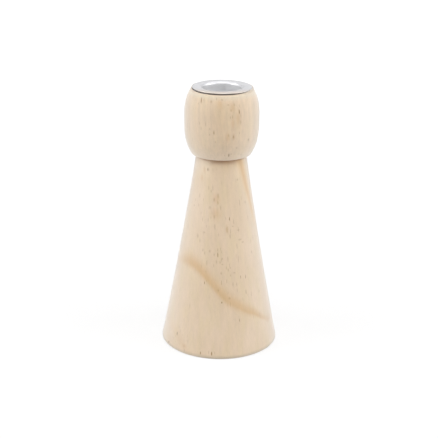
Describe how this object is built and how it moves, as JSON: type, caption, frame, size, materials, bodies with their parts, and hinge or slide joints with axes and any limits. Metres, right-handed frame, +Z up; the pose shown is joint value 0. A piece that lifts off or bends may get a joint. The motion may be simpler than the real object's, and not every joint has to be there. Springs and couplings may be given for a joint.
{
  "type": "candlestick",
  "caption": "Turned pine candlestick: a tall cone foot carries a barrel-shaped head, and a flanged metal cup in the head's top holds one taper candle.",
  "frame": {"origin": "centre of the foot's flat underside, on the surface that the candlestick stands on", "axes": "+Z up along the turning axis, through the candle; X and Y across, with the pictured side facing -Y"},
  "size_m": [0.067, 0.067, 0.15],
  "materials": {
    "turned_pine": "sanded bare pine, matte",
    "beech_dowel": "raw beech, matte",
    "drawn_aluminium": "deep-drawn sheet, satin"
  },
  "bodies": {
    "wood": {"cone_foot": "turned_pine", "barrel_head": "turned_pine", "joining_dowel": "beech_dowel"},
    "cup": {"candle_cup": "drawn_aluminium"}
  },
  "joints": [
    {"name": "cup_lift", "type": "slide", "parent": "wood", "child": "cup", "axis": [0, 0, 1], "range_m": [0, 0.025]}
  ]
}
